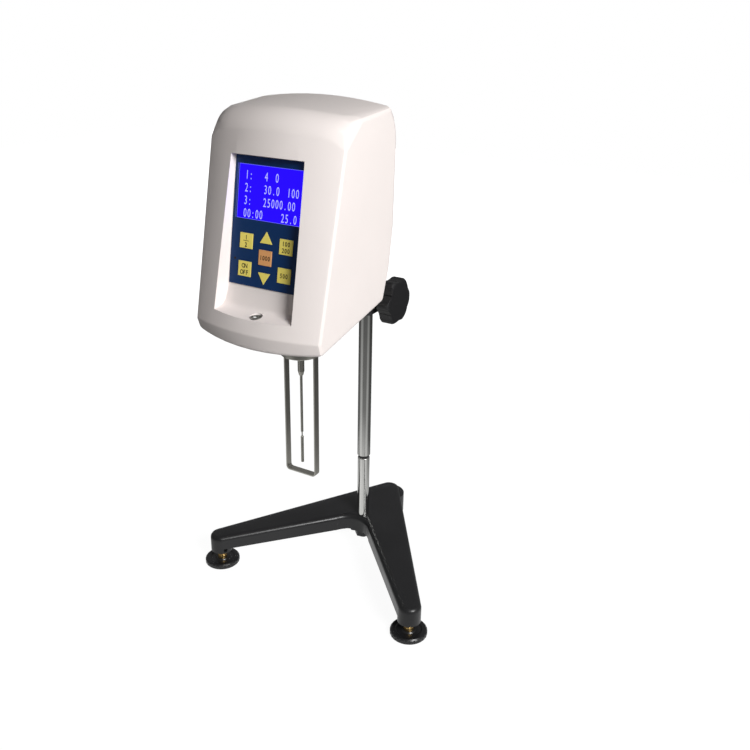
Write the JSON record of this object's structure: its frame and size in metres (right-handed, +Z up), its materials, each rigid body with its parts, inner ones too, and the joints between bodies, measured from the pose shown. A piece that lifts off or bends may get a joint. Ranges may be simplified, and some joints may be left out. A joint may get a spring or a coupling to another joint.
{
  "type": "rotational viscometer",
  "caption": "Rotational viscometer: a motor head with a display, keys, guard and cylindrical spindle, raised by rack and pinion on a column with a forked three-foot base.",
  "frame": {"origin": "on the table, in the middle of the instrument's outline", "axes": "+Z up, -Y towards the user who reads the display, +X to that user's right"},
  "size_m": [0.3014, 0.3038, 0.5573],
  "materials": {
    "casting_black": "satin black paint",
    "zinc_steel": "zinc plated",
    "chrome": "polished",
    "black_plastic": "matte",
    "brass": "turned",
    "block_grey": "satin",
    "bronze": "bored",
    "steel": "machined",
    "aluminium": "milled",
    "shell_white": "painted, light texture",
    "panel_blue": "printed film",
    "window_blue": "clear over a lit display",
    "display_blue": "display",
    "board_green": "solder mask",
    "key_yellow": "printed film",
    "key_orange": "printed film",
    "level_glass": "clear",
    "stainless": "satin",
    "motor_black": "satin",
    "rocker_red": "gloss",
    "spring_bronze": "rolled strip"
  },
  "bodies": {
    "base": {"base_casting": "casting_black", "post_nut": "zinc_steel", "lower_post": "chrome", "joint_washer": "black_plastic", "rack_column": "chrome", "column_cap": "black_plastic"},
    "foot_left": {"stud_left": "brass", "disc_left": "black_plastic"},
    "foot_right": {"stud_right": "brass", "disc_right": "black_plastic"},
    "foot_rear": {"stud_rear": "brass", "disc_rear": "black_plastic"},
    "carriage": {"clamp_block": "block_grey", "carriage_bushes": "bronze"},
    "tension": {"tension_screw": "steel"},
    "pinion": {"pinion_shaft": "steel", "lift_knob": "black_plastic"},
    "rod_lock": {"rod_lock_knob": "black_plastic"},
    "head": {"head_rod": "chrome", "rod_bracket": "aluminium", "chassis_plate": "aluminium", "main_shell": "shell_white", "back_cover": "shell_white", "head_screws": "zinc_steel", "panel_overlay": "panel_blue", "lcd_window": "window_blue", "lcd_module": "display_blue", "keypad_board": "board_green", "level_housing": "aluminium", "level_glass": "level_glass", "main_board": "board_green", "board_standoffs": "brass", "lower_boss": "stainless", "spindle_guard": "stainless", "mechanism_pillars": "steel", "upper_plate": "aluminium", "stepper_motor": "motor_black", "drive_bush": "bronze", "position_sensors": "black_plastic", "power_switch": "black_plastic", "dc_inlet": "black_plastic", "serial_port": "zinc_steel", "probe_socket": "steel"},
    "motor": {"motor_pinion": "brass"},
    "drive": {"drive_gear": "brass", "drive_encoder": "black_plastic", "hairspring": "spring_bronze"},
    "spindle": {"pivot_shaft": "stainless", "spindle_encoder": "black_plastic", "spindle_coupling": "stainless", "spindle_rotor": "stainless"},
    "rocker": {"power_rocker": "rocker_red"},
    "key_up": {"key_up": "key_yellow"},
    "key_down": {"key_down": "key_yellow"},
    "key_enter": {"key_enter": "key_orange"},
    "key_mode": {"key_mode": "key_yellow"},
    "key_timer": {"key_timer": "key_yellow"},
    "key_run": {"key_run": "key_yellow"},
    "key_print": {"key_print": "key_yellow"}
  },
  "joints": [
    {"name": "lift_slide", "type": "slide", "parent": "base", "child": "carriage", "axis": [0, 0, 1], "range_m": [-0.15, 0.08]},
    {"name": "lift_knob_turn", "type": "hinge", "parent": "carriage", "child": "pinion", "pos_m": [0, 0.07759, 0.33], "axis": [1, 0, 0], "range_deg": [-1440, 770]},
    {"name": "tension_turn", "type": "hinge", "parent": "carriage", "child": "tension", "pos_m": [0, 0.06519, 0.356], "axis": [1, 0, 0], "range_deg": [-90, 90]},
    {"name": "rod_lock_turn", "type": "hinge", "parent": "carriage", "child": "rod_lock", "pos_m": [0, 0.03819, 0.382], "axis": [1, 0, 0], "range_deg": [0, 180]},
    {"name": "head_roll", "type": "hinge", "parent": "carriage", "child": "head", "pos_m": [0, 0, 0.382], "axis": [0, 1, 0], "range_deg": [-8, 8]},
    {"name": "drive_spin", "type": "hinge", "parent": "head", "child": "drive", "pos_m": [0, -0.06581, 0.403], "axis": [0, 0, 1], "continuous": true},
    {"name": "motor_spin", "type": "hinge", "parent": "head", "child": "motor", "pos_m": [0.03, -0.06581, 0.403], "axis": [0, 0, 1], "continuous": true},
    {"name": "spring_windup", "type": "hinge", "parent": "drive", "child": "spindle", "pos_m": [0, -0.06581, 0.35], "axis": [0, 0, 1], "range_deg": [-85, 0], "stiffness_Nm_per_rad": 0.00045},
    {"name": "key_up_press", "type": "slide", "parent": "head", "child": "key_up", "axis": [0, 0.9859, -0.1671], "range_m": [0, 0.0004], "stiffness_N_per_m": 400},
    {"name": "key_down_press", "type": "slide", "parent": "head", "child": "key_down", "axis": [0, 0.9859, -0.1671], "range_m": [0, 0.0004], "stiffness_N_per_m": 400},
    {"name": "key_enter_press", "type": "slide", "parent": "head", "child": "key_enter", "axis": [0, 0.9859, -0.1671], "range_m": [0, 0.0004], "stiffness_N_per_m": 400},
    {"name": "key_mode_press", "type": "slide", "parent": "head", "child": "key_mode", "axis": [0, 0.9859, -0.1671], "range_m": [0, 0.0004], "stiffness_N_per_m": 400},
    {"name": "key_timer_press", "type": "slide", "parent": "head", "child": "key_timer", "axis": [0, 0.9859, -0.1671], "range_m": [0, 0.0004], "stiffness_N_per_m": 400},
    {"name": "key_run_press", "type": "slide", "parent": "head", "child": "key_run", "axis": [0, 0.9859, -0.1671], "range_m": [0, 0.0004], "stiffness_N_per_m": 400},
    {"name": "key_print_press", "type": "slide", "parent": "head", "child": "key_print", "axis": [0, 0.9859, -0.1671], "range_m": [0, 0.0004], "stiffness_N_per_m": 400},
    {"name": "power_rock", "type": "hinge", "parent": "head", "child": "rocker", "pos_m": [0.038, -0.00771, 0.485], "axis": [1, 0, 0], "range_deg": [-16, 0]},
    {"name": "foot_left_screw", "type": "slide", "parent": "base", "child": "foot_left", "axis": [0, 0, 1], "range_m": [-0.005, 0.0008]},
    {"name": "foot_right_screw", "type": "slide", "parent": "base", "child": "foot_right", "axis": [0, 0, 1], "range_m": [-0.005, 0.0008]},
    {"name": "foot_rear_screw", "type": "slide", "parent": "base", "child": "foot_rear", "axis": [0, 0, 1], "range_m": [-0.005, 0.0008]}
  ],
  "couplings": [
    {"joint": "lift_knob_turn", "follows": "lift_slide", "rad_per_m": 166.67},
    {"joint": "motor_spin", "follows": "drive_spin", "ratio": -4}
  ]
}
